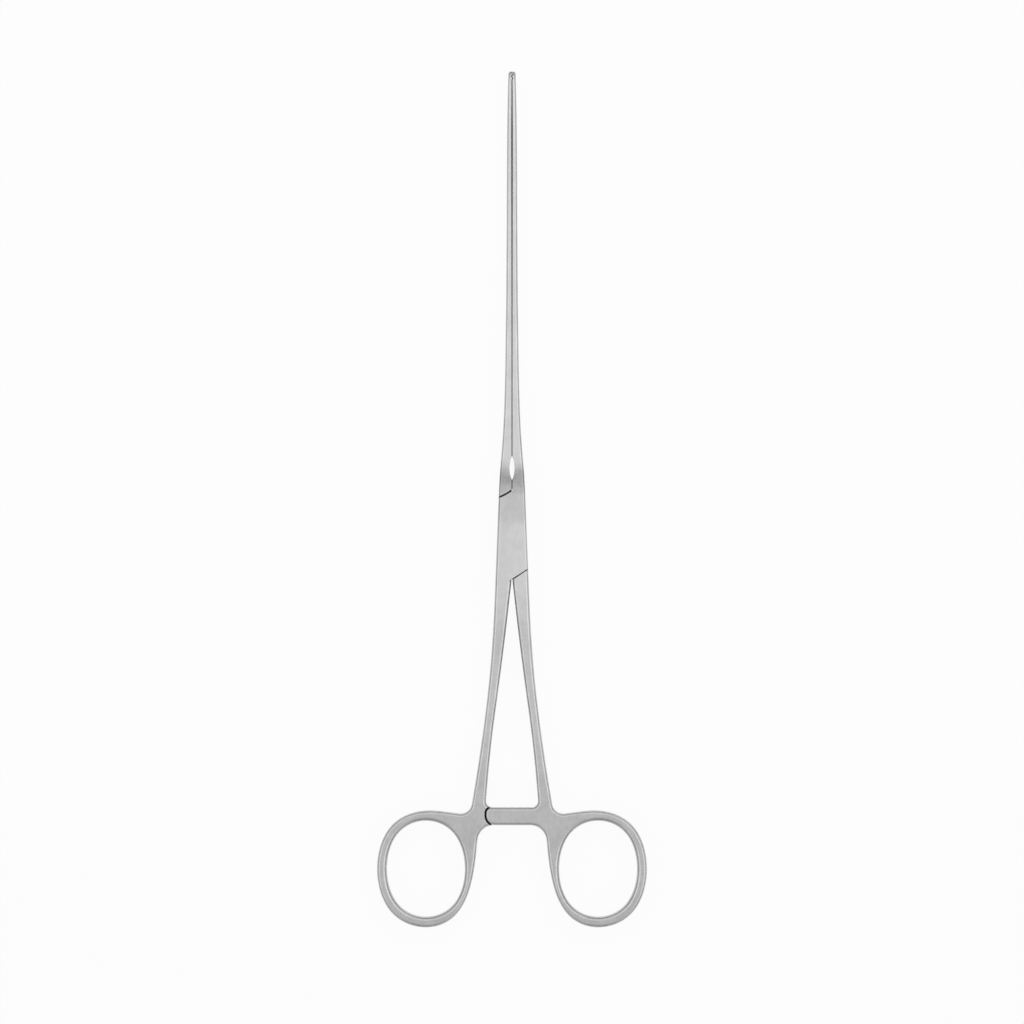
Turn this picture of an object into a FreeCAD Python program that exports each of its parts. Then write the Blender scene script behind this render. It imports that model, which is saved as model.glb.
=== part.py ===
import FreeCAD, Part
import os
import re
import Sketcher

# An intestinal clamp, 24 cm long, closed. It lies on the back of its box lock.
# X is across it, Y runs from the finger rings to the jaw tips and Z is up through its thickness.
# Each half is drawn about the pivot, with its plan in the XY plane and its mid-thickness at Z = 0.
# The handles and jaws of the two halves mirror each other, so one plan is drawn for both.

# Driving dimensions in millimetres. Heights and reaches are measured along Y from the pivot.
SIZES = {
    "tip_reach": 129.7,
    "ring_reach": 110.3,
    "ring_span": 75.7,
    "box_top": 12.6,
    "box_foot": 12.9,
    "box_top_width": 7.3,
    "box_foot_width": 9.3,
    "box_depth": 6.4,
    "upper_seam_drop": 2.1,
    "lower_seam_rise": 3.0,
    "upper_seam_gap": 0.45,
    "lower_seam_gap": 0.2,
    "upper_seam_sag": 0.35,
    "parting_gap": 0.2,
    "tongue_depth": 2.2,
    "tongue_play": 0.05,
    "pin_diameter": 2.4,
    "pin_play": 0.03,
    "window_foot": 15.3,
    "window_length": 6.5,
    "window_bulge": 0.85,
    "neck_height": 25.0,
    "neck_half_width": 2.67,
    "root_height": 35.0,
    "root_half_width": 2.10,
    "jaw_middle_half_width": 1.66,
    "jaw_front_half_width": 1.43,
    "knob_length": 11.7,
    "knob_half_width": 1.42,
    "tip_half_width": 1.0,
    "tip_round": 0.7,
    "tip_tooth_pitch": 0.93,
    "tip_tooth_height": 0.44,
    "jaw_bow": 0.1,
    "jaw_root_depth": 5.6,
    "jaw_tip_depth": 4.4,
    "jaw_round": 0.65,
    "groove_pitch": 0.55,
    "groove_depth": 0.18,
    "groove_count": 7,
    "rib_width": 1.1,
    "rib_reach": 0.35,
    "rib_play": 0.12,
    "shank_depth": 5.2,
    "crotch_half_width": 0.12,
    "outer_upper_hollow": 1.73125,
    "outer_lower_hollow": 1.1,
    "inner_upper_hollow": 0.1025,
    "inner_middle_bow": 0.115,
    "inner_lower_bow": 0.65,
    "shank_foot_inset": 16.7,
    "elbow_inset": 12.35,
    "elbow_drop": 2.1,
    "elbow_round": 3.2,
    "shank_round": 0.8,
    "ring_hole_width": 21.9,
    "ring_hole_length": 27.0,
    "ring_band": 2.75,
    "ring_end_band": 2.9,
    "ring_fullness": 0.8133,
    "ring_hole_round": 1.0,
    "arm_rise": 33.6,
    "arm_height": 4.95,
    "arm_reach": 7.44,
    "arm_top_round": 1.4,
    "arm_foot_round": 2.6,
    "arm_gap": 0.26,
    "arm_inner_round": 1.8,
    "arm_under_round": 4.6,
    "crest_gap": 0.1,
    "ratchet_pitch": 2.2,
    "ratchet_depth": 0.8,
    "ratchet_count": 4,
    "ratchet_start": 4.75,
    "web_inset": 14.7,
    "ring_shoulder_inset": 6.65,
    "ring_top_dip": 0.7,
    "ring_top_rise": 1.0,
    "ring_inner_bulge": 0.4,
}

# Places worked out from the sizes above.
BOX_SLOPE = "((box_foot_width - box_top_width) / 2 / (box_top + box_foot))"
RING_OUT = "(ring_span / 2 - ring_band - ring_hole_width / 2)"
RING_HEIGHT = "(ring_hole_length / 2 + ring_end_band - ring_reach)"
RING_HALF_WIDTH = "(ring_hole_width / 2 + ring_band)"
RING_HALF_LENGTH = "(ring_hole_length / 2 + ring_end_band)"
RING_AXIS_PULL = "(1.5 - ring_fullness / 2)"
ARM_TOP = "(ring_reach - arm_rise)"
ARM_FOOT = f"({ARM_TOP} + arm_height)"
ARM_MIDDLE = f"({ARM_TOP} + arm_height / 2)"
ELBOW_OUT = f"({RING_OUT} - elbow_inset)"
ELBOW_HEIGHT = f"({ARM_TOP} + elbow_drop)"
SHANK_FOOT_OUT = f"({RING_OUT} - shank_foot_inset)"
WEB_OUT = f"({RING_OUT} - web_inset)"
WINDOW_TOP = "(window_foot + window_length)"
PAST_THE_TIP = "(tip_reach + box_depth)"
PAST_THE_RINGS = "(ring_reach + box_depth)"
PAST_THE_SIDE = "(box_foot_width)"
PAST_THE_FACE = "(box_depth)"

FEMALE = -1
MALE = 1
FRONT = 1
BACK = -1

document = FreeCAD.newDocument("IntestinalClamp")
sheet = document.addObject("Spreadsheet::Sheet", "Sizes")


def fill_sheet():
    """Put every driving dimension in a cell of its own, beside its name."""
    for row, (name, value) in enumerate(SIZES.items(), start=1):
        sheet.set(f"A{row}", name)
        sheet.set(f"B{row}", str(value))
        sheet.setAlias(f"B{row}", name)
    document.recompute()


def formula(text):
    """Write a formula of size names as an expression that other objects can hold."""
    return re.sub(r"[a-z]\w+", r"Sizes.\g<0>", text)


def measure(text):
    """Give the present value of a formula of size names."""
    return float(sheet.evalExpression(formula(text)))


def mirrored(hand, spots):
    """Give the spots for one half: its shank lies on the side that hand names."""
    return [(f"{hand} * ({across})", along) for across, along in spots]


def new_sketch(body, name, role, offset="0"):
    """Start a sketch on one of the body's origin planes, raised by an offset along its normal."""
    sketch = body.newObject("Sketcher::SketchObject", name)
    plane = next(item for item in body.Origin.OriginFeatures if item.Role == role)
    sketch.AttachmentSupport = [(plane, "")]
    sketch.MapMode = "FlatFace"
    sketch.setExpression("AttachmentOffset.Base.z", formula(offset))
    return sketch


def pin_down(sketch, edge, point, spot):
    """Hold one point of a sketch edge at a spot given by two formulas."""
    for kind, text in zip(("DistanceX", "DistanceY"), spot):
        number = sketch.addConstraint(Sketcher.Constraint(kind, edge, point, measure(text)))
        sketch.setExpression(f"Constraints[{number}]", formula(text))


def draw_edge(sketch, spots):
    """Draw a line through two spots, or a smooth curve that has all of them as its poles."""
    points = [FreeCAD.Vector(measure(across), measure(along), 0) for across, along in spots]
    if len(points) == 2:
        return sketch.addGeometry(Part.LineSegment(*points), False)
    curve = Part.BSplineCurve()
    curve.buildFromPoles(points, False, 3)
    edge = sketch.addGeometry(curve, False)
    first_pole = sketch.GeometryCount
    sketch.exposeInternalGeometry(edge)
    for step, spot in enumerate(spots[1:-1], start=1):
        pin_down(sketch, first_pole + step, 3, spot)
    return edge


def draw_outline(sketch, runs):
    """Draw a closed outline. Each run goes on from the end of the run before it."""
    edges = []
    start = runs[-1][-1]
    for run in runs:
        edge = draw_edge(sketch, [start] + run)
        pin_down(sketch, edge, 2, run[-1])
        edges.append(edge)
        start = run[-1]
    for before, after in zip([edges[-1]] + edges[:-1], edges):
        sketch.addConstraint(Sketcher.Constraint("Coincident", before, 2, after, 1))


def draw_circle(sketch, diameter):
    """Draw a circle round the pivot."""
    centre = FreeCAD.Vector(0, 0, 0)
    circle = sketch.addGeometry(Part.Circle(centre, FreeCAD.Vector(0, 0, 1), measure(diameter) / 2))
    sketch.addConstraint(Sketcher.Constraint("Coincident", circle, 3, -1, 1))
    number = sketch.addConstraint(Sketcher.Constraint("Diameter", circle, measure(diameter)))
    sketch.setExpression(f"Constraints[{number}]", formula(diameter))


def ring_spots(turns, half_width, half_length):
    """Poles round a finger ring, at the given turns, that make it a little fuller than an ellipse."""
    spots = []
    for across, along in turns:
        pull = RING_AXIS_PULL if 0 in (across, along) else "ring_fullness"
        spots.append((f"{RING_OUT} + {across} * {pull} * {half_width}",
                      f"{RING_HEIGHT} + {along} * {pull} * {half_length}"))
    return spots


def draw_ring_hole(sketch, hand):
    """Draw the finger hole as one closed curve."""
    turns = [(1, 0), (1, 1), (0, 1), (-1, 1), (-1, 0), (-1, -1), (0, -1), (1, -1)]
    spots = mirrored(hand, ring_spots(turns, "ring_hole_width / 2", "ring_hole_length / 2"))
    points = [FreeCAD.Vector(measure(across), measure(along), 0) for across, along in spots]
    curve = Part.BSplineCurve(points, None, None, True, 3, None, False)
    edge = sketch.addGeometry(curve, False)
    first_pole = sketch.GeometryCount
    sketch.exposeInternalGeometry(edge)
    for step, spot in enumerate(spots):
        pin_down(sketch, first_pole + step, 3, spot)


def box_half_width(height):
    """Give the formula of the box lock's half width at a height above the pivot."""
    return f"(box_top_width / 2 + (box_top - ({height})) * {BOX_SLOPE})"


def jaw_side():
    """The outer edge of the jaw, from the top of the box lock up to the tip."""
    on_the_box = "(box_top + (neck_height - box_top) / 3)"
    jaw_length = "(tip_reach - root_height)"
    return [
        (f"-{box_half_width('box_top')}", "box_top"),
        (f"-{box_half_width(on_the_box)}", on_the_box),
        ("-neck_half_width", "neck_height"),
        ("-root_half_width", "root_height"),
        ("-jaw_middle_half_width", f"root_height + {jaw_length} / 4"),
        ("-jaw_front_half_width", f"root_height + {jaw_length} * 5 / 8"),
        ("-knob_half_width", "tip_reach - knob_length"),
        ("-tip_half_width", "tip_reach"),
    ]


def tip_teeth(hand):
    """The teeth at the tip: the seam steps from side to side, and the halves fit into each other."""
    corners = 5
    spots = []
    for step in range(corners):
        side = 1 if step % 2 == 0 else -1
        across = f"{side * hand} * tip_tooth_height / 2 - parting_gap / 2"
        spots.append((across, f"tip_reach - {step} * tip_tooth_pitch / 2"))
    spots.append(("-parting_gap / 2", f"tip_reach - {corners} * tip_tooth_pitch / 2"))
    return spots


def bite_edge(start_height):
    """The inner edge of the jaw, which bows away from the other jaw towards the front."""
    bite_length = f"({start_height} - {WINDOW_TOP})"
    bowed = "-parting_gap / 2 - jaw_bow"
    return [
        (bowed, f"{start_height} - {bite_length} / 16"),
        (bowed, f"{start_height} - {bite_length} * 5 / 16"),
        ("-parting_gap / 2", f"{start_height} - {bite_length} * 7 / 16"),
        ("-parting_gap / 2", WINDOW_TOP),
    ]


def window_edge():
    """Half of the pointed oval window between the jaw roots."""
    return [
        ("-parting_gap / 2 - window_bulge", "window_foot + window_length * 3 / 4"),
        ("-parting_gap / 2 - window_bulge", "window_foot + window_length / 4"),
        ("-parting_gap / 2", "window_foot"),
    ]


def upper_crossing(side, gap):
    """The box lock's upper seam, from the middle to one side, lowered by a gap."""
    edge_height = f"(box_top - upper_seam_drop - {gap})"
    return [
        ("-parting_gap / 2", f"box_top - {gap}"),
        (f"{side} * box_top_width / 6", f"box_top - upper_seam_drop / 3 - upper_seam_sag - {gap}"),
        (f"{side} * box_top_width / 3", f"box_top - upper_seam_drop * 2 / 3 - upper_seam_sag / 2 - {gap}"),
        (f"{side} * {box_half_width(edge_height)}", edge_height),
    ]


def lower_crossing(side, gap):
    """The box lock's lower seam, from the middle to one side, raised by a gap."""
    edge_height = f"(lower_seam_rise + {gap} - box_foot)"
    return [
        ("crotch_half_width", f"{gap} - box_foot"),
        (f"{side} * {box_half_width(edge_height)}", edge_height),
    ]


def shank_outer_side():
    """The outer edge of the shank, from the foot of the box lock down to the elbow.

    Its poles lie inside the straight line between the two by the outer hollows.
    """
    length = f"({ELBOW_HEIGHT} - box_foot)"
    spread = f"({ELBOW_OUT} - box_foot_width / 2)"
    on_the_box = f"(-box_foot - {length} / 8)"
    upper = f"box_foot_width / 2 + {spread} * 3 / 8 - outer_upper_hollow"
    lower = f"box_foot_width / 2 + {spread} * 3 / 4 - outer_lower_hollow"
    return [
        (box_half_width("-box_foot"), "-box_foot"),
        (box_half_width(on_the_box), on_the_box),
        (upper, f"-box_foot - {length} * 3 / 8"),
        (lower, f"-box_foot - {length} * 3 / 4"),
        (ELBOW_OUT, f"-{ELBOW_HEIGHT}"),
    ]


def ring_outer_side():
    """The outer edge of the finger ring, from the elbow round to the foot of the arm."""
    spots = [
        (f"{RING_OUT} - ring_shoulder_inset", f"{RING_HEIGHT} + {RING_HALF_LENGTH} - ring_top_dip"),
        (RING_OUT, f"{RING_HEIGHT} + {RING_HALF_LENGTH} + ring_top_rise"),
    ]
    turns = [(1, 1), (1, 0), (1, -1), (0, -1), (-1, -1)]
    spots += ring_spots(turns, RING_HALF_WIDTH, RING_HALF_LENGTH)
    spots.append((f"{RING_OUT} - {RING_HALF_WIDTH} - ring_inner_bulge", RING_HEIGHT))
    spots.append((WEB_OUT, f"-{ARM_FOOT}"))
    return spots


def shank_inner_side():
    """The inner edge of the shank, from the top of the arm up to the crotch.

    Its poles lie off the straight line between the two by the inner hollow and bows.
    """
    length = f"({ARM_TOP} - box_foot)"
    spread = f"({SHANK_FOOT_OUT} - crotch_half_width)"
    return [
        (f"crotch_half_width + {spread} * 3 / 4 + inner_lower_bow", f"-box_foot - {length} * 3 / 4"),
        (f"crotch_half_width + {spread} / 2 + inner_middle_bow", f"-box_foot - {length} / 2"),
        (f"crotch_half_width + {spread} / 4 - inner_upper_hollow", f"-box_foot - {length} / 4"),
        ("crotch_half_width", "lower_seam_gap - box_foot"),
    ]


def plan_runs(hand):
    """The plan outline of one half, run by run, going round from the tip."""
    teeth = tip_teeth(hand)
    upper = upper_crossing("1", "upper_seam_gap")
    lower = lower_crossing("-1", "lower_seam_gap")
    shank = shank_outer_side()
    jaw = jaw_side()
    runs = [[spot] for spot in teeth]
    runs.append(bite_edge(teeth[-1][1]))
    runs.append(window_edge())
    runs.append([upper[0]])
    runs.append(upper[1:])
    runs.append([shank[0]])
    runs.append(shank[1:])
    runs.append(ring_outer_side())
    runs.append([("-arm_reach", f"-{ARM_FOOT}")])
    runs.append([("-arm_reach", f"-{ARM_TOP}")])
    runs.append([(SHANK_FOOT_OUT, f"-{ARM_TOP}")])
    runs.append(shank_inner_side())
    runs.append(lower[1:])
    runs.append([jaw[0]])
    runs.append(jaw[1:])
    return [mirrored(hand, run) for run in runs]


def depth_runs(face):
    """What is cut off one face, seen from the side: the clamp is deepest at the box lock."""
    slope_start = f"(-box_foot - ({ELBOW_HEIGHT} - box_foot) / 2)"
    slope_middle = f"(-box_foot - ({ELBOW_HEIGHT} - box_foot) / 4)"
    slope_end = "(-box_foot - box_depth / 2)"
    runs = [
        [(PAST_THE_TIP, PAST_THE_FACE)],
        [(f"-{PAST_THE_RINGS}", PAST_THE_FACE)],
        [(f"-{PAST_THE_RINGS}", "shank_depth / 2")],
        [(slope_start, "shank_depth / 2")],
        [(slope_middle, "shank_depth / 2"), (slope_middle, "box_depth / 2"), (slope_end, "box_depth / 2")],
        [("box_top", "box_depth / 2")],
        [("neck_height", "box_depth / 2"), ("neck_height", "jaw_root_depth / 2"),
         ("root_height + neck_height - box_top", "jaw_root_depth / 2")],
        [("tip_reach - tip_round * 3", "jaw_tip_depth / 2")],
        [("tip_reach - tip_round", "jaw_tip_depth / 2"), ("tip_reach", "jaw_tip_depth / 2 - tip_round / 2"),
         ("tip_reach + tip_round", "jaw_tip_depth / 2 - tip_round * 2")],
        [(PAST_THE_TIP, "jaw_tip_depth / 2 - tip_round * 2")],
    ]
    return [[(along, f"{face} * ({height})") for along, height in run] for run in runs]


def box_room_runs(hand):
    """The part of the box lock that the other half crosses, between the two shoulders."""
    upper = upper_crossing("-1", "0")
    lower = lower_crossing("1", "0")
    runs = [
        [upper[0]],
        upper[1:],
        [(f"-{PAST_THE_SIDE}", upper[-1][1])],
        [(f"-{PAST_THE_SIDE}", "-box_foot")],
        [lower[0]],
        lower[1:],
        [(PAST_THE_SIDE, lower[-1][1])],
        [(PAST_THE_SIDE, "box_top")],
    ]
    return [mirrored(hand, run) for run in runs]


def arm_room_runs(hand):
    """The room in one half for the arm of the other half, with a gap all round its round end."""
    end = "(arm_reach + arm_gap)"
    start = f"(-{end} - arm_foot_round)"
    top = f"(arm_gap - {ARM_TOP})"
    foot = f"(-{ARM_FOOT} - arm_gap)"
    upper_turn = "(arm_top_round + arm_gap)"
    upper_pole = f"{upper_turn} * 9 / 20"
    lower_turn = "(arm_foot_round + arm_gap)"
    lower_pole = f"{lower_turn} * 9 / 20"
    runs = [
        [(f"{end} - {upper_turn}", top)],
        [(f"{end} - {upper_pole}", top), (end, f"{top} - {upper_pole}"), (end, f"{top} - {upper_turn}")],
        [(end, f"{foot} + {lower_turn}")],
        [(end, f"{foot} + {lower_pole}"), (f"{end} - {lower_pole}", foot), (f"{end} - {lower_turn}", foot)],
        [(start, foot)],
        [(start, top)],
    ]
    return [mirrored(hand, run) for run in runs]


def cut_between(body, name, sketch, depth):
    """Cut a sketch through the body over a depth that is centred on the sketch."""
    pocket = body.newObject("PartDesign::Pocket", name)
    pocket.Profile = sketch
    pocket.SideType = "Symmetric"
    pocket.Type = "Length"
    pocket.setExpression("Length", formula(depth))
    document.recompute()
    return pocket


def cut_away(body, name, sketch, side):
    """Cut everything on one side of a sketch."""
    pocket = body.newObject("PartDesign::Pocket", name)
    pocket.Profile = sketch
    pocket.Type = "Length"
    pocket.setExpression("Length", formula(PAST_THE_FACE))
    pocket.Reversed = side > 0
    document.recompute()


def repeat(body, name, cut, sketch, axis, pitch, count, reverse):
    """Repeat a cut along one axis of its sketch, or against it."""
    pattern = body.newObject("PartDesign::LinearPattern", name)
    pattern.Originals = [cut]
    pattern.Direction = (sketch, [axis])
    pattern.Mode = "Spacing"
    pattern.Reversed = reverse
    pattern.setExpression("Offset", formula(pitch))
    pattern.setExpression("Occurrences", formula(count))
    body.Tip = pattern
    document.recompute()


def is_upright(edge):
    """Tell whether an edge runs straight through the thickness."""
    first, last = edge.Vertexes[0].Point, edge.Vertexes[-1].Point
    across = FreeCAD.Vector(last.x - first.x, last.y - first.y, 0)
    return abs(last.z - first.z) > 10 * across.Length


def name_of_nearest(shape, place, upright):
    """Give the name of the edge that lies nearest to a place, among upright edges or the others."""
    target = Part.Vertex(place)
    names = []
    for number, edge in enumerate(shape.Edges, start=1):
        if is_upright(edge) == upright:
            names.append((edge.distToShape(target)[0], f"Edge{number}"))
    return min(names)[1]


def round_off(body, name, base, edges, radius):
    """Round the named edges of the last feature."""
    fillet = body.newObject("PartDesign::Fillet", name)
    fillet.Base = (base, edges)
    fillet.setExpression("Radius", formula(radius))
    document.recompute()


def round_corner(body, name, base, hand, spots, radius):
    """Round the upright corners of the plan that stand at the given spots."""
    edges = []
    for across, along in mirrored(hand, spots):
        place = FreeCAD.Vector(measure(across), measure(along), 0)
        edges.append(name_of_nearest(base.Shape, place, True))
    round_off(body, name, base, edges, radius)


def round_rims(body, name, base, hand, spot, depth, radius):
    """Round the rims of the front and back face that pass over the given spot."""
    across, along = mirrored(hand, [spot])[0]
    edges = []
    for face in (FRONT, BACK):
        place = FreeCAD.Vector(measure(across), measure(along), face * measure(depth) / 2)
        edges.append(name_of_nearest(base.Shape, place, False))
    round_off(body, name, base, edges, radius)


def forge_blank(body, hand):
    """The solid of one half before anything is milled into it."""
    plan = new_sketch(body, f"{body.Name}_plan", "XY_Plane")
    draw_outline(plan, plan_runs(hand))
    blank = body.newObject("PartDesign::Pad", f"{body.Name}_blank")
    blank.Profile = plan
    blank.SideType = "Symmetric"
    blank.setExpression("Length", formula("box_depth"))
    document.recompute()
    hole = new_sketch(body, f"{body.Name}_ring_hole", "XY_Plane")
    draw_ring_hole(hole, hand)
    cut_between(body, f"{body.Name}_ring_cut", hole, "box_depth * 2")


def soften_corners(body, hand):
    """Round the corners of the plan: elbow, arm and tip."""
    steps = [
        ("elbow", [(ELBOW_OUT, f"-{ELBOW_HEIGHT}")], "elbow_round"),
        ("underside", [(WEB_OUT, f"-{ARM_FOOT}")], "arm_under_round"),
        ("inner_corner", [(SHANK_FOOT_OUT, f"-{ARM_TOP}")], "arm_inner_round"),
        ("arm_end_top", [("-arm_reach", f"-{ARM_TOP}")], "arm_top_round"),
        ("arm_end_foot", [("-arm_reach", f"-{ARM_FOOT}")], "arm_foot_round"),
        ("tip", [("-tip_half_width", "tip_reach")], "tip_round"),
    ]
    for name, spots, radius in steps:
        round_corner(body, f"{body.Name}_{name}", body.Tip, hand, spots, radius)


def shape_depth(body):
    """Thin the jaws and shanks from the depth of the box lock."""
    for name, face in (("front", FRONT), ("back", BACK)):
        side = new_sketch(body, f"{body.Name}_{name}_waste", "YZ_Plane")
        draw_outline(side, depth_runs(face))
        cut_between(body, f"{body.Name}_{name}_thinning", side, "ring_span * 2")


def soften_rims(body, hand):
    """Round over the rims of the front and back faces."""
    shank_spot = (box_half_width("0"), "0 * box_top")
    jaw_spot = (f"-{box_half_width('0')}", "0 * box_top")
    hole_spot = (RING_OUT, "ring_end_band - ring_reach")
    round_rims(body, f"{body.Name}_hole_rims", body.Tip, hand, hole_spot, "shank_depth", "ring_hole_round")
    round_rims(body, f"{body.Name}_jaw_rims", body.Tip, hand, jaw_spot, "box_depth", "jaw_round")
    round_rims(body, f"{body.Name}_shank_rims", body.Tip, hand, shank_spot, "box_depth", "shank_round")


def make_arm(body, hand, layer):
    """Leave the ratchet arm in its own half of the thickness and cut its teeth."""
    room = new_sketch(body, f"{body.Name}_arm_room", "XY_Plane", f"{layer} * crest_gap / 2")
    draw_outline(room, arm_room_runs(hand))
    cut_away(body, f"{body.Name}_arm_cut", room, -layer)
    valley = new_sketch(body, f"{body.Name}_valley", "XZ_Plane", ARM_MIDDLE)
    crest = f"{layer} * crest_gap / 2"
    runs = [
        [(f"{hand} * (-ratchet_start)", f"{layer} * (crest_gap / 2 + ratchet_depth)")],
        [(f"{hand} * (ratchet_pitch * 3 / 4 - ratchet_start)", crest)],
        [(f"{hand} * (-ratchet_start)", f"-{crest}")],
    ]
    draw_outline(valley, runs)
    cut = cut_between(body, f"{body.Name}_valley_cut", valley, "arm_height + arm_gap * 2")
    backwards = hand < 0
    repeat(body, f"{body.Name}_ratchet", cut, valley, "H_Axis", "ratchet_pitch", "ratchet_count", backwards)


def cut_grooves(body, hand):
    """Cut the fine lengthwise grooves in the biting face of the jaw."""
    middle = f"(tip_reach - tip_tooth_pitch * 3 + {WINDOW_TOP}) / 2"
    length = f"tip_reach - tip_tooth_pitch * 3 - {WINDOW_TOP}"
    lowest = "groove_pitch * (groove_count - 1) / 2"
    groove = new_sketch(body, f"{body.Name}_groove", "XZ_Plane", f"-({middle})")
    runs = mirrored(hand, [
        ("-parting_gap / 2 - groove_depth", f"-{lowest}"),
        ("parting_gap / 2", f"groove_pitch / 2 - {lowest}"),
        ("parting_gap / 2", f"-groove_pitch / 2 - {lowest}"),
    ])
    draw_outline(groove, [[spot] for spot in runs])
    cut = cut_between(body, f"{body.Name}_groove_cut", groove, length)
    repeat(body, f"{body.Name}_grooves", cut, groove, "V_Axis", "groove_pitch", "groove_count", False)


def rib_spans():
    """The two lengths of the seam that ribs close: along the bite, and between window and box lock."""
    return [
        ("bite", WINDOW_TOP, "tip_reach - tip_tooth_pitch"),
        ("neck", "box_top", "window_foot"),
    ]


def draw_rib(body, name, low, high, reach, play):
    """Draw the plan of a rib that stands on the male half's inner edge, longer by the play at each end."""
    sketch = new_sketch(body, f"{body.Name}_{name}", "XY_Plane")
    root = "(-parting_gap / 2 - jaw_bow - rib_reach)"
    corners = [(root, f"{low} - {play}"), (reach, f"{low} - {play}"),
               (reach, f"{high} + {play}"), (root, f"{high} + {play}")]
    draw_outline(sketch, [[corner] for corner in corners])
    return sketch


def add_ribs(body):
    """Add the ribs at mid-depth that stand out of the male half's inner edge and shut out the light."""
    for name, low, high in rib_spans():
        rib = body.newObject("PartDesign::Pad", f"{body.Name}_{name}_rib")
        rib.Profile = draw_rib(body, f"{name}_rib_plan", low, high, "rib_reach", "0")
        rib.SideType = "Symmetric"
        rib.setExpression("Length", formula("rib_width"))
        document.recompute()


def cut_rib_grooves(body):
    """Cut the grooves that take the male half's ribs, with play all round."""
    for name, low, high in rib_spans():
        plan = draw_rib(body, f"{name}_groove_plan", low, high, "rib_reach + rib_play", "rib_play")
        cut_between(body, f"{body.Name}_{name}_rib_groove", plan, "rib_width + rib_play * 2")


def bore_pin_hole(body, diameter):
    """Bore the hole for the lock pin through everything at the pivot."""
    bore = new_sketch(body, f"{body.Name}_pin_bore", "XY_Plane")
    draw_circle(bore, diameter)
    cut_between(body, f"{body.Name}_pin_cut", bore, "box_depth * 2")


def set_down(item):
    """Stand the piece in its place: on the back of the box lock, midway along the clamp."""
    item.setExpression("Placement.Base.y", formula("(ring_reach - tip_reach) / 2"))
    item.setExpression("Placement.Base.z", formula("box_depth / 2"))


def start_half(name, hand, layer):
    """Make what both halves have: the forged form, the arm with its teeth and the grooved jaw."""
    body = document.addObject("PartDesign::Body", name)
    body.Label = name
    forge_blank(body, hand)
    soften_corners(body, hand)
    shape_depth(body)
    soften_rims(body, hand)
    make_arm(body, hand, layer)
    cut_grooves(body, hand)
    return body


def make_male_half():
    """The half whose tongue passes through the other: right ring and shank, left jaw."""
    body = start_half("male_half", MALE, FRONT)
    for name, face in (("front", FRONT), ("back", BACK)):
        room = new_sketch(body, f"male_{name}_cheek_room", "XY_Plane", f"{face} * tongue_depth / 2")
        draw_outline(room, box_room_runs(MALE))
        cut_away(body, f"male_{name}_cheek_cut", room, face)
    add_ribs(body)
    bore_pin_hole(body, "pin_diameter + pin_play * 2")
    set_down(body)
    return body


def make_female_half():
    """The half with the slotted box: left ring and shank, right jaw and the two cheeks."""
    body = start_half("female_half", FEMALE, BACK)
    room = new_sketch(body, "female_tongue_room", "XY_Plane")
    draw_outline(room, box_room_runs(FEMALE))
    cut_between(body, "female_slot", room, "tongue_depth + tongue_play * 2")
    cut_rib_grooves(body)
    bore_pin_hole(body, "pin_diameter")
    set_down(body)
    return body


def make_lock_pin():
    """The pin that is riveted in both cheeks and ground flush with them."""
    body = document.addObject("PartDesign::Body", "lock_pin")
    body.Label = "lock_pin"
    section = new_sketch(body, "lock_pin_section", "XY_Plane")
    draw_circle(section, "pin_diameter")
    rod = body.newObject("PartDesign::Pad", "lock_pin_rod")
    rod.Profile = section
    rod.SideType = "Symmetric"
    rod.setExpression("Length", formula("box_depth"))
    set_down(body)
    return body


def check_and_export(pieces):
    """Stop if anything failed, then write each piece to its own file."""
    document.recompute()
    for item in document.Objects:
        if "Invalid" in item.State or "Error" in item.State:
            raise RuntimeError(f"{item.Name} is {item.State}")
    for piece in pieces:
        if piece.Shape.isNull() or not piece.Shape.isValid() or len(piece.Shape.Solids) != 1:
            raise RuntimeError(f"{piece.Label} is not one sound solid")
    os.makedirs("parts", exist_ok=True)
    for piece in pieces:
        piece.Shape.exportStep(f"parts/{piece.Label}.step")


fill_sheet()
pieces = [make_female_half(), make_male_half(), make_lock_pin()]
check_and_export(pieces)
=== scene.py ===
import bpy
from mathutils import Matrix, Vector


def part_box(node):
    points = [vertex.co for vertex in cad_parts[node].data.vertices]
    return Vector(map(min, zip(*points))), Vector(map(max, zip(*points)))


# An intestinal clamp of satin stainless steel, closed, seen from straight above.
# Lengths are in metres. X is across the clamp, Y runs from its rings to its tips and Z is up.

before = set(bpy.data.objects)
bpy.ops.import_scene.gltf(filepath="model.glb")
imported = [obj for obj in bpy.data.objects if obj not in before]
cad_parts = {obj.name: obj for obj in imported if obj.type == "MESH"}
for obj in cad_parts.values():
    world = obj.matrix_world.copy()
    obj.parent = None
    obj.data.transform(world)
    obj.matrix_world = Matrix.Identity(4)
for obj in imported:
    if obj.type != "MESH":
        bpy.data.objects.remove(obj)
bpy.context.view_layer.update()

# How the photograph sees the clamp.
PHOTO_CENTRE = Vector((0.0, -0.00353, 0.0032))
PHOTO_SIDE = 0.2873
CAMERA_HEIGHT = 2.4
SENSOR_MILLIMETRES = 36.0

# How bright the studio is at each height, from the horizon at 0 to overhead at 1.
SKY_HEIGHTS = [(0.0, 0.62), (0.35, 0.66), (0.62, 0.84), (0.82, 1.0), (0.93, 0.92), (1.0, 0.70)]
# How that changes across the studio, from its left side at 0 to its right side at 1.
SKY_SIDES = [(0.0, 0.50), (0.12, 0.60), (0.2, 0.86), (0.3, 0.82), (0.4, 0.6), (0.6, 0.6),
             (0.69, 0.95), (0.8, 0.95), (0.88, 0.62), (1.0, 0.5)]
# How that changes along the studio, from the side of the rings at 0 to the side of the tips at 1.
SKY_ENDS = [(0.0, 0.50), (0.28, 0.58), (0.5, 1.0), (0.72, 0.58), (1.0, 0.55)]
SKY_STRENGTH = 1.63

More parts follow.
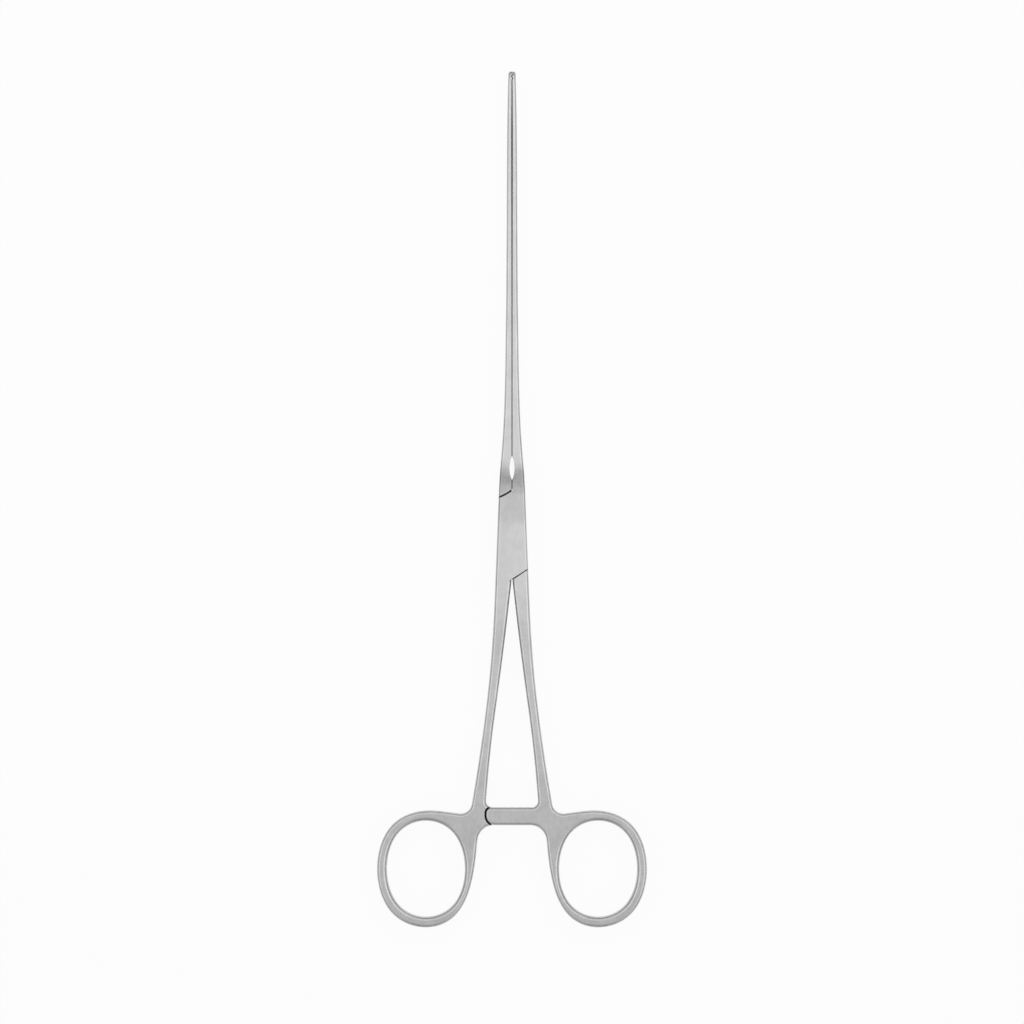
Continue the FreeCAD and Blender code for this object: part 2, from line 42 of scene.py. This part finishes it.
# The soft lamp over the tips, in watts.
LAMP_PLACE = (0.0, 0.13, 0.32)
LAMP_SIDE = 0.38
LAMP_POWER = 0.19

# The white floor, a hair under the clamp, and how much of it shines for the camera and the steel.
FLOOR_SIDE = 6.0
FLOOR_DROP = 0.00002
FLOOR_SHINE = 0.94

# How fine the steel's finish is, in grains to the metre, and how deep it goes.
STROKE_GRAINS = 3600.0
STROKE_STRETCH = (1.0, 0.08, 1.0)
GRIT_GRAINS = 3000.0
MOTTLING_GRAINS = 650.0
BLOTCH_GRAINS = 150.0
# The grains of the cloudy border round each patch of painted shade.
PAINTED_SHADE_GRAINS = 420.0
FINISH_DEPTH = 0.00002
# How far the occlusion looks when it paints shade into the gaps, seams and crevices.
SHADE_PAINT_REACH = 0.0012

# Painted shade round the foot of the jaws, standing in for the shading of the slope there, and a faint
# painted shade on the box lock below it.
# Each has its middle, how far it reaches and how dark it is from there outwards.
PAINTED_SHADES = [
    ((0.0, 0.0062, 0.0), (0.03, 0.0057, 1000.0), [(0.0, 0.58), (0.25, 0.65), (0.55, 0.83), (1.0, 1.0)]),
    ((0.0, -0.0005, 0.0), (0.03, 0.009, 1000.0), [(0.0, 0.86), (0.4, 0.88), (1.0, 1.0)]),
]

# The pin's ends are flush, so the edges round them aren't broken.
PIN_LOW, PIN_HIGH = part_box("lock_pin")
PIN_MIDDLE = (PIN_LOW + PIN_HIGH) / 2
PIN_RADIUS = (PIN_HIGH.x - PIN_LOW.x) / 2
EDGE_RADIUS = 0.00025


def add_node(nodes, kind, values=None, **settings):
    """Add a shader node, set its options and give its inputs their values."""
    node = nodes.new(kind)
    for name, value in settings.items():
        setattr(node, name, value)
    for name, value in (values or {}).items():
        node.inputs[name].default_value = value
    return node


def ramp(nodes, links, factor, stops):
    """Add a smooth grey ramp with the given (place, grey) stops and give its outcome."""
    node = nodes.new("ShaderNodeValToRGB")
    node.color_ramp.interpolation = "EASE"
    elements = node.color_ramp.elements
    while len(elements) < len(stops):
        elements.new(0.5)
    for element, (place, grey) in zip(elements, stops):
        element.position = place
        element.color = (grey, grey, grey, 1.0)
    links.new(factor, node.inputs["Fac"])
    return node.outputs["Color"]


def product(nodes, links, first, second):
    """Multiply two tones."""
    node = add_node(nodes, "ShaderNodeVectorMath", operation="MULTIPLY")
    links.new(first, node.inputs[0])
    links.new(second, node.inputs[1])
    return node.outputs["Vector"]


def noise(nodes, links, place, scale, detail):
    """Add a noise of so many grains to the metre."""
    node = add_node(nodes, "ShaderNodeTexNoise", {"Scale": scale, "Detail": detail, "Roughness": 0.55})
    links.new(place, node.inputs["Vector"])
    return node.outputs["Fac"]


def distance(nodes, links, place, middle, reach):
    """How far a place is from a middle, in shares of the reach."""
    offset = add_node(nodes, "ShaderNodeVectorMath", {1: middle}, operation="SUBTRACT")
    links.new(place, offset.inputs[0])
    share = add_node(nodes, "ShaderNodeVectorMath", {1: reach}, operation="DIVIDE")
    links.new(offset.outputs["Vector"], share.inputs[0])
    length = add_node(nodes, "ShaderNodeVectorMath", operation="LENGTH")
    links.new(share.outputs["Vector"], length.inputs[0])
    return length.outputs["Value"]


def painted_shade_tone(nodes, links, place, middle, reach, stops):
    """The tone of a patch of painted shade with a cloudy border."""
    clouds = add_node(nodes, "ShaderNodeMath", {1: 0.5}, operation="MULTIPLY_ADD")
    links.new(noise(nodes, links, place, PAINTED_SHADE_GRAINS, 3.0), clouds.inputs[0])
    links.new(distance(nodes, links, place, middle, reach), clouds.inputs[2])
    spread = add_node(nodes, "ShaderNodeMapRange", {"From Min": 0.25, "From Max": 1.25})
    links.new(clouds.outputs["Value"], spread.inputs["Value"])
    return ramp(nodes, links, spread.outputs["Result"], stops)


def broken_edges(nodes, links, place):
    """Edges that are slightly rounded, apart from the ones round the pin's ends."""
    around = (PIN_RADIUS, PIN_RADIUS, 1000.0)
    radius = add_node(nodes, "ShaderNodeMapRange",
                      {"From Min": 1.25, "From Max": 1.5, "To Min": 0.0, "To Max": EDGE_RADIUS})
    links.new(distance(nodes, links, place, PIN_MIDDLE, around), radius.inputs["Value"])
    edges = add_node(nodes, "ShaderNodeBevel", samples=8)
    links.new(radius.outputs["Result"], edges.inputs["Radius"])
    return edges.outputs["Normal"]


def satin_steel(name, grey, dullness):
    """Satin stainless steel: fine strokes along the clamp and faint mottling, with painted shade
    darkening its crevices and gaps and painted shade round the foot of the jaws.
    """
    material = bpy.data.materials.new(name)
    material.use_nodes = True
    nodes, links = material.node_tree.nodes, material.node_tree.links
    shader = nodes["Principled BSDF"]
    shader.inputs["Metallic"].default_value = 1.0

    place = nodes.new("ShaderNodeTexCoord").outputs["Object"]
    along = add_node(nodes, "ShaderNodeMapping", {"Scale": STROKE_STRETCH})
    links.new(place, along.inputs["Vector"])
    strokes = noise(nodes, links, along.outputs["Vector"], STROKE_GRAINS, 3.0)
    mottling = noise(nodes, links, place, MOTTLING_GRAINS, 4.0)
    blotches = noise(nodes, links, place, BLOTCH_GRAINS, 4.0)
    grit = noise(nodes, links, place, GRIT_GRAINS, 2.0)
    # Occlusion that darkens the base colour in the gaps, seams and crevices: painted shade.
    openness = add_node(nodes, "ShaderNodeAmbientOcclusion", {"Distance": SHADE_PAINT_REACH}, samples=8)

    tone = ramp(nodes, links, strokes, [(0.3, grey * 0.97), (0.7, grey * 1.03)])
    for factor, stops in (
        (mottling, [(0.3, 0.95), (0.7, 1.0)]),
        (blotches, [(0.3, 0.93), (0.7, 1.0)]),
        (openness.outputs["AO"], [(0.22, 0.04), (0.72, 1.0)]),
    ):
        tone = product(nodes, links, tone, ramp(nodes, links, factor, stops))
    # Painted shade round the foot of the jaws and, fainter, on the box lock.
    for middle, reach, stops in PAINTED_SHADES:
        tone = product(nodes, links, tone, painted_shade_tone(nodes, links, place, middle, reach, stops))
    links.new(tone, shader.inputs["Base Color"])

    sheen = add_node(nodes, "ShaderNodeMapRange", {"To Min": dullness - 0.05, "To Max": dullness + 0.06})
    links.new(mottling, sheen.inputs["Value"])
    links.new(sheen.outputs["Result"], shader.inputs["Roughness"])

    relief = add_node(nodes, "ShaderNodeMath", operation="ADD")
    links.new(strokes, relief.inputs[0])
    links.new(grit, relief.inputs[1])
    bump = add_node(nodes, "ShaderNodeBump", {"Strength": 0.16, "Distance": FINISH_DEPTH})
    links.new(relief.outputs["Value"], bump.inputs["Height"])
    links.new(broken_edges(nodes, links, place), bump.inputs["Normal"])
    links.new(bump.outputs["Normal"], shader.inputs["Normal"])
    return material


def dress(node, material):
    """Give a carried-over solid its material."""
    node.data.materials.clear()
    node.data.materials.append(material)


def add_floor():
    """A plain white floor that the camera and the steel see as white, with the clamp's soft shadow."""
    bpy.ops.mesh.primitive_plane_add(size=FLOOR_SIDE, location=(0.0, 0.0, -FLOOR_DROP))
    floor = bpy.context.object
    floor.name = "floor"
    material = bpy.data.materials.new("white_floor")
    material.use_nodes = True
    nodes, links = material.node_tree.nodes, material.node_tree.links
    nodes.clear()
    matt = add_node(nodes, "ShaderNodeBsdfDiffuse", {"Color": (0.9, 0.9, 0.9, 1.0)})
    glow = add_node(nodes, "ShaderNodeEmission", {"Color": (1.0, 1.0, 1.0, 1.0), "Strength": 1.0})
    rays = nodes.new("ShaderNodeLightPath")
    seen = add_node(nodes, "ShaderNodeMath", operation="MAXIMUM")
    links.new(rays.outputs["Is Camera Ray"], seen.inputs[0])
    links.new(rays.outputs["Is Glossy Ray"], seen.inputs[1])
    through = add_node(nodes, "ShaderNodeMath", operation="MAXIMUM")
    links.new(seen.outputs["Value"], through.inputs[0])
    links.new(rays.outputs["Is Transmission Ray"], through.inputs[1])
    share = add_node(nodes, "ShaderNodeMath", {1: FLOOR_SHINE}, operation="MULTIPLY")
    links.new(through.outputs["Value"], share.inputs[0])
    mix = nodes.new("ShaderNodeMixShader")
    links.new(share.outputs["Value"], mix.inputs["Fac"])
    links.new(matt.outputs["BSDF"], mix.inputs[1])
    links.new(glow.outputs["Emission"], mix.inputs[2])
    output = nodes.new("ShaderNodeOutputMaterial")
    links.new(mix.outputs["Shader"], output.inputs["Surface"])
    floor.data.materials.append(material)


def add_lamp():
    """Hang a square soft lamp that shines straight down."""
    data = bpy.data.lights.new("softbox", "AREA")
    data.shape = "SQUARE"
    data.size = LAMP_SIDE
    data.energy = LAMP_POWER
    lamp = bpy.data.objects.new("softbox", data)
    lamp.location = LAMP_PLACE
    bpy.context.scene.collection.objects.link(lamp)


def add_sky():
    """Soft studio surroundings, brighter on the right, with a pure white backdrop for the camera."""
    world = bpy.data.worlds.new("studio")
    bpy.context.scene.world = world
    world.use_nodes = True
    nodes, links = world.node_tree.nodes, world.node_tree.links
    nodes.clear()
    direction = nodes.new("ShaderNodeTexCoord")
    split = nodes.new("ShaderNodeSeparateXYZ")
    links.new(direction.outputs["Generated"], split.inputs["Vector"])
    sideways = add_node(nodes, "ShaderNodeMapRange", {"From Min": -1.0, "From Max": 1.0})
    links.new(split.outputs["X"], sideways.inputs["Value"])
    lengthwise = add_node(nodes, "ShaderNodeMapRange", {"From Min": -1.0, "From Max": 1.0})
    links.new(split.outputs["Y"], lengthwise.inputs["Value"])
    tone = ramp(nodes, links, split.outputs["Z"], SKY_HEIGHTS)
    for place, stops in ((sideways, SKY_SIDES), (lengthwise, SKY_ENDS)):
        tone = product(nodes, links, tone, ramp(nodes, links, place.outputs["Result"], stops))
    studio = add_node(nodes, "ShaderNodeBackground", {"Strength": SKY_STRENGTH})
    links.new(tone, studio.inputs["Color"])
    white = add_node(nodes, "ShaderNodeBackground", {"Color": (1.0, 1.0, 1.0, 1.0), "Strength": 1.0})
    rays = nodes.new("ShaderNodeLightPath")
    mix = nodes.new("ShaderNodeMixShader")
    links.new(rays.outputs["Is Camera Ray"], mix.inputs["Fac"])
    links.new(studio.outputs["Background"], mix.inputs[1])
    links.new(white.outputs["Background"], mix.inputs[2])
    output = nodes.new("ShaderNodeOutputWorld")
    links.new(mix.outputs["Shader"], output.inputs["Surface"])


def add_camera():
    """Look straight down from far away, so that the view is nearly free of perspective."""
    data = bpy.data.cameras.new("camera")
    data.sensor_width = SENSOR_MILLIMETRES
    data.lens = SENSOR_MILLIMETRES * CAMERA_HEIGHT / PHOTO_SIDE
    data.clip_end = 50.0
    camera = bpy.data.objects.new("camera", data)
    camera.location = PHOTO_CENTRE + Vector((0.0, 0.0, CAMERA_HEIGHT))
    bpy.context.scene.collection.objects.link(camera)
    bpy.context.scene.camera = camera


satin = satin_steel("satin_steel", 0.62, 0.31)
pin_satin = satin_steel("pin_steel", 0.62, 0.30)
dress(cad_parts["female_half"], satin)
dress(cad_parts["male_half"], satin)
dress(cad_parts["lock_pin"], pin_satin)
add_floor()
add_sky()
add_lamp()
add_camera()
bpy.context.scene.view_settings.view_transform = "Standard"
